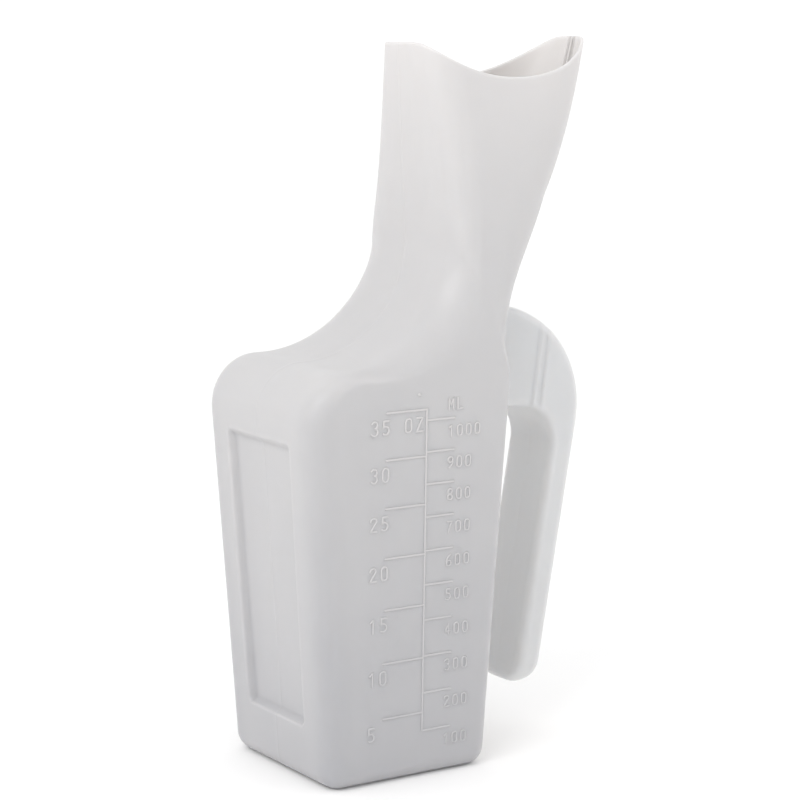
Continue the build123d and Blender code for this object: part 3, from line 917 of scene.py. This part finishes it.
def glyphStrokes(character, w, h):
    r = w / 2
    rounded = arcPoints((0, h - r), (r, h), (w, h - r)) + arcPoints((w, r), (r, 0), (0, r)) + [(0, h - r)]
    strokes = {
        "0": [rounded],
        "1": [[(0.15 * w, 0.78 * h), (0.6 * w, h), (0.6 * w, 0)]],
        "2": [arcPoints((0, h - r), (r, h), (w, h - r)) + [(0, 0), (w, 0)]],
        "3": [arcPoints((0, 0.88 * h), (0.95 * w, 0.76 * h), (0.35 * w, 0.53 * h))
              + arcPoints((0.35 * w, 0.53 * h), (w, 0.27 * h), (0, 0.1 * h))],
        "4": [[(0.72 * w, 0), (0.72 * w, h), (0, 0.3 * h), (w, 0.3 * h)]],
        "5": [[(0.92 * w, h), (0.1 * w, h)] + arcPoints((0.06 * w, 0.56 * h), (w, 0.32 * h), (0, 0.08 * h))],
        "6": [ringPoints(r, r, r), arcPoints((0, r), (0.2 * w, 0.72 * h), (0.85 * w, h))],
        "7": [[(0, h), (w, h), (0.3 * w, 0)]],
        "8": [ringPoints(r, r, r), ringPoints(r, h - r * 0.9, r * 0.9)],
        "9": [ringPoints(r, h - r, r), arcPoints((w, h - r), (0.8 * w, 0.28 * h), (0.15 * w, 0))],
        "O": [rounded],
        "Z": [[(0, h), (w, h), (0, 0), (w, 0)]],
        "M": [[(0, 0), (0, h), (r, 0.4 * h), (w, h), (w, 0)]],
        "L": [[(0, h), (0, 0), (w, 0)]],
    }
    return strokes[character]


def splitLong(path, longest=1.2):
    points = [path[0]]
    for before, after in zip(path, path[1:]):
        pieces = max(1, math.ceil(math.dist(before, after) / longest))
        for step in range(1, pieces + 1):
            share = step / pieces
            points.append((mixValue(before[0], after[0], share), mixValue(before[1], after[1], share)))
    return points


def addMound(points, faces, path, width):
    # a low rounded bead along a path on the front face, closed underneath
    path = splitLong(path)
    half = width / 2
    closedPath = math.dist(path[0], path[-1]) < 1e-6
    if closedPath:
        path = path[:-1]
    count = len(path)
    stations = []
    for index in range(count):
        before = path[index - 1] if (closedPath or index > 0) else path[index]
        after = path[(index + 1) % count] if (closedPath or index < count - 1) else path[index]
        inDir = np.array(path[index]) - np.array(before)
        outDir = np.array(after) - np.array(path[index])
        inDir = inDir / np.linalg.norm(inDir) if np.linalg.norm(inDir) > 0 else None
        outDir = outDir / np.linalg.norm(outDir) if np.linalg.norm(outDir) > 0 else None
        inDir = outDir if inDir is None else inDir
        outDir = inDir if outDir is None else outDir
        along = inDir + outDir
        along = along / np.linalg.norm(along) if np.linalg.norm(along) > 1e-6 else inDir
        mitre = min(1 / max(float(along @ inDir), 0.3), 1.6)
        stations.append((np.array(path[index]), along, mitre, 1.0))
    if not closedPath:
        first, last = stations[0], stations[-1]
        ends = [(0.98, 0.12), (0.85, 0.5), (0.5, 0.86)]
        head = [(first[0] - first[1] * half * out, first[1], size, size) for out, size in ends]
        tail = [(last[0] + last[1] * half * out, last[1], size, size) for out, size in reversed(ends)]
        stations = head + stations + tail
    base = len(points)
    columns = len(crown) + 2
    for place, along, widen, rise in stations:
        side = np.array([-along[1], along[0]])
        for offset, lift in crown:
            x, height = place + side * offset * half * widen
            points.append(onFace(x, height, scale["relief"] * (lift * rise if lift > 0 else lift)))
        for offset in (1.0, -1.0):
            x, height = place + side * offset * half * widen
            points.append(onFace(x, height, -sunk))
    rows = len(stations)
    faces += gridFaces(rows, columns, first=base, flip=True)
    if closedPath:
        last = base + (rows - 1) * columns
        for column in range(columns):
            after = (column + 1) % columns
            faces.append((last + column, base + column, base + after, last + after))
    else:
        faces.append(tuple(range(base, base + columns)))
        faces.append(tuple(range(base + (rows - 1) * columns, base + rows * columns))[::-1])


def addWord(points, faces, word, left, top, height):
    stroke = scale["strokeShare"] * height
    width = scale["glyphShare"] * height - stroke
    pitch = (scale["glyphShare"] + scale["glyphGapShare"]) * height
    for index, character in enumerate(word):
        if character == " ":
            continue
        cornerX = left + index * pitch + stroke / 2
        cornerHeight = top - height + stroke / 2
        for path in glyphStrokes(character, width, height - stroke):
            addMound(points, faces, [(cornerX + x, cornerHeight + y) for x, y in path], stroke)


def finishMark(name, node, points, faces):
    piece = makeMesh(name, points, faces, markPlastic, bottlePaintedLight)
    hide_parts(node)
    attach(piece, "root")


def buildScale():
    ounces = range(5, 36, 5)
    millilitres = range(100, 1001, 100)
    ounceHeight = lambda ounce: markHeight(ounce * scale["millilitrePerOunce"] / 1000)
    lineLeft = scale["lineX"] - scale["lineWidth"] / 2
    lineRight = scale["lineX"] + scale["lineWidth"] / 2
    top, bottom = ounceHeight(ounces[-1]), markHeight(millilitres[0] / 1000)

    points, faces = [], []
    addMound(points, faces, [(scale["lineX"], bottom), (scale["lineX"], top)], scale["lineWidth"])
    finishMark("scaleLine", "scale_line", points, faces)

    points, faces = [], []
    for ounce in ounces:
        height = ounceHeight(ounce)
        addMound(points, faces, [(lineLeft - scale["ounceLine"], height), (scale["lineX"], height)],
                 scale["lineWidth"])
    finishMark("ounceLines", "ounce_lines", points, faces)

    points, faces = [], []
    for millilitre in millilitres:
        height = markHeight(millilitre / 1000)
        addMound(points, faces, [(scale["lineX"], height), (lineRight + scale["millilitreLine"], height)],
                 scale["lineWidth"])
    finishMark("millilitreLines", "millilitre_lines", points, faces)

    points, faces = [], []
    left = lineLeft - scale["ounceLine"] - scale["ounceTextReach"]
    for ounce in ounces:
        word = f"{ounce}" if ounce < ounces[-1] else f"{ounce} OZ"
        addWord(points, faces, word, left, ounceHeight(ounce) - scale["textDrop"], scale["ounceTextHeight"])
    finishMark("ounceNumerals", "ounce_numerals", points, faces)

    points, faces = [], []
    left = lineRight + scale["millilitreTextReach"]
    for millilitre in millilitres:
        addWord(points, faces, f"{millilitre}", left, markHeight(millilitre / 1000) - scale["textDrop"],
                scale["millilitreTextHeight"])
    addWord(points, faces, "ML", left, top + scale["unitRise"], scale["millilitreTextHeight"])
    finishMark("millilitreNumerals", "millilitre_numerals", points, faces)

    points, faces = [], []
    pipX, pipHeight = scale["lineX"] - scale["pipOffset"], top + scale["pipRise"]
    half = scale["pipHalfLength"]
    addMound(points, faces, [(pipX - half, pipHeight), (pipX + half, pipHeight)], scale["pipWidth"])
    finishMark("mouldingPip", "moulding_pip", points, faces)


buildScale()
print("scale raised")

# floor, light and camera

room = {
    "floorHalf": 4000.0,
    "floorBack": 1500.0,        # where the floor starts to curve up into the backdrop
    "bendRadius": 700.0,
    "bendSteps": 16,
    "wallTop": 3000.0,
    "floorColour": (0.93, 0.93, 0.93),
    "floorRoughness": 0.9,
    "worldColour": (1.0, 1.0, 1.0),
    "worldStrength": 1.12,
}


def makeRoom():
    material = bpy.data.materials.new("paleFloor")
    material.use_nodes = True
    shader = material.node_tree.nodes["Principled BSDF"]
    shader.inputs["Base Color"].default_value = room["floorColour"] + (1,)
    shader.inputs["Roughness"].default_value = room["floorRoughness"]
    # the floor and backdrop face the camera, which looks towards +X and +Y
    turn = math.radians(camera["turn"])
    ahead, aside = (math.sin(turn), math.cos(turn)), (math.cos(turn), -math.sin(turn))
    outline = [(-room["floorHalf"], 0.0), (room["floorBack"], 0.0)]
    for step in range(1, room["bendSteps"] + 1):
        angle = math.pi / 2 * step / room["bendSteps"]
        outline.append((room["floorBack"] + room["bendRadius"] * math.sin(angle),
                        room["bendRadius"] * (1 - math.cos(angle))))
    outline.append((room["floorBack"] + room["bendRadius"], room["wallTop"]))
    points, faces = [], []
    for out, up in outline:
        for side in (-room["floorHalf"], room["floorHalf"]):
            points.append((ahead[0] * out + aside[0] * side, ahead[1] * out + aside[1] * side, up))
    for row in range(len(outline) - 1):
        faces.append((2 * row, 2 * row + 1, 2 * row + 3, 2 * row + 2))
    makeMesh("floor", points, faces, material)
    world = bpy.data.worlds.new("paleRoom")
    world.use_nodes = True
    background = world.node_tree.nodes["Background"]
    background.inputs["Color"].default_value = room["worldColour"] + (1,)
    background.inputs["Strength"].default_value = room["worldStrength"]
    bpy.context.scene.world = world


lamps = {
    "key": {
        "place": (-900, -500, 900),
        "aim": (0, 0, 150),
        "size": 700,
        "power": 4.65,
        "colour": (1.0, 0.985, 0.97),
    },
}


def makeLamp(name, lamp):
    light = bpy.data.lights.new(name, "AREA")
    light.shape = "SQUARE"
    light.size = lamp["size"] * mm
    light.energy = lamp["power"]
    light.color = lamp["colour"]
    holder = bpy.data.objects.new(name, light)
    holder.location = Vector(lamp["place"]) * mm
    aim = Vector(lamp["aim"]) * mm - holder.location
    holder.rotation_euler = aim.to_track_quat("-Z", "Y").to_euler()
    bpy.context.scene.collection.objects.link(holder)


camera = {
    "place": (-532.34, -841.11, 311.07),
    "turn": 33.292,             # degrees from looking along +Y towards +X
    "tilt": 9.057,              # degrees below level
    "roll": -0.233,
    "lens": 109.55,
    "sensorWidth": 36.0,
    "clipEnd": 100.0,
}


def makeCamera():
    turn, tilt, roll = (math.radians(camera[key]) for key in ("turn", "tilt", "roll"))
    ahead = Vector((math.sin(turn) * math.cos(tilt), math.cos(turn) * math.cos(tilt), -math.sin(tilt)))
    right = Vector((math.cos(turn), -math.sin(turn), 0))
    down = ahead.cross(right)
    rolledRight = right * math.cos(roll) + down * math.sin(roll)
    rolledDown = down * math.cos(roll) - right * math.sin(roll)
    eye = bpy.data.cameras.new("camera")
    eye.lens = camera["lens"]
    eye.sensor_width = camera["sensorWidth"]
    eye.clip_end = camera["clipEnd"]
    holder = bpy.data.objects.new("camera", eye)
    basis = Matrix((rolledRight, -rolledDown, -ahead)).transposed()
    holder.matrix_world = Matrix.Translation(Vector(camera["place"]) * mm) @ basis.to_4x4()
    bpy.context.scene.collection.objects.link(holder)
    bpy.context.scene.camera = holder


makeRoom()
for lampName, lamp in lamps.items():
    makeLamp(lampName, lamp)
makeCamera()
bpy.context.scene.view_settings.view_transform = "Standard"
print("room, lamps and camera set")
